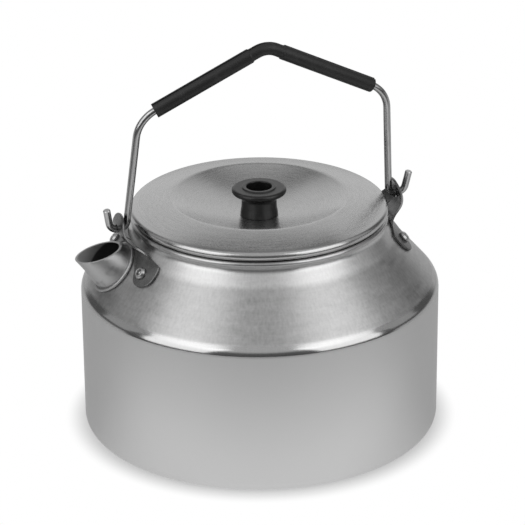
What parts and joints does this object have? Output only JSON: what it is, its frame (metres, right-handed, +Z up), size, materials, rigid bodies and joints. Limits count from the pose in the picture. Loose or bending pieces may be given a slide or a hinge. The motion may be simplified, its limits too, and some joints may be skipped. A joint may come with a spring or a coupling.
{
  "type": "camping kettle",
  "caption": "Squat spun kettle with a conical shoulder, short slanted spout, lift-off lid with spool knob, and a swinging wire bail hooked in two riveted ears.",
  "frame": {"origin": "centre of the flat base, on the face that the kettle stands on", "axes": "+Z up; the spout points along -X; the bail swings about an axis along X; -Y is the side that the picture shows"},
  "size_m": [0.1853, 0.18, 0.2042],
  "materials": {
    "body_aluminium": "satin wall, lathe-turned shoulder",
    "spout_aluminium": "satin",
    "lid_aluminium": "satin, turned",
    "bracket_steel": "polished sheet",
    "rivet_aluminium": "bright, formed",
    "bail_steel": "bright drawn wire",
    "grip_plastic": "matte black",
    "knob_plastic": "black, slight sheen",
    "screw_steel": "bright"
  },
  "bodies": {
    "kettle": {"body_shell": "body_aluminium", "spout": "spout_aluminium", "spout_bracket": "bracket_steel", "rear_bracket": "bracket_steel", "rivet_spout_left": "rivet_aluminium", "rivet_spout_right": "rivet_aluminium", "rivet_rear_left": "rivet_aluminium", "rivet_rear_right": "rivet_aluminium"},
    "bail": {"bail_wire": "bail_steel", "bail_grip": "grip_plastic"},
    "lid": {"lid_shell": "lid_aluminium", "knob": "knob_plastic", "knob_screw": "screw_steel", "knob_washer": "screw_steel", "knob_nut": "screw_steel"}
  },
  "joints": [
    {"name": "bail_swing", "type": "hinge", "parent": "kettle", "child": "bail", "pos_m": [0, 0, 0.1114], "axis": [1, 0, 0], "range_deg": [-108, 90]},
    {"name": "lid_lift", "type": "slide", "parent": "kettle", "child": "lid", "axis": [0, 0, 1], "range_m": [0, 0.015]}
  ]
}
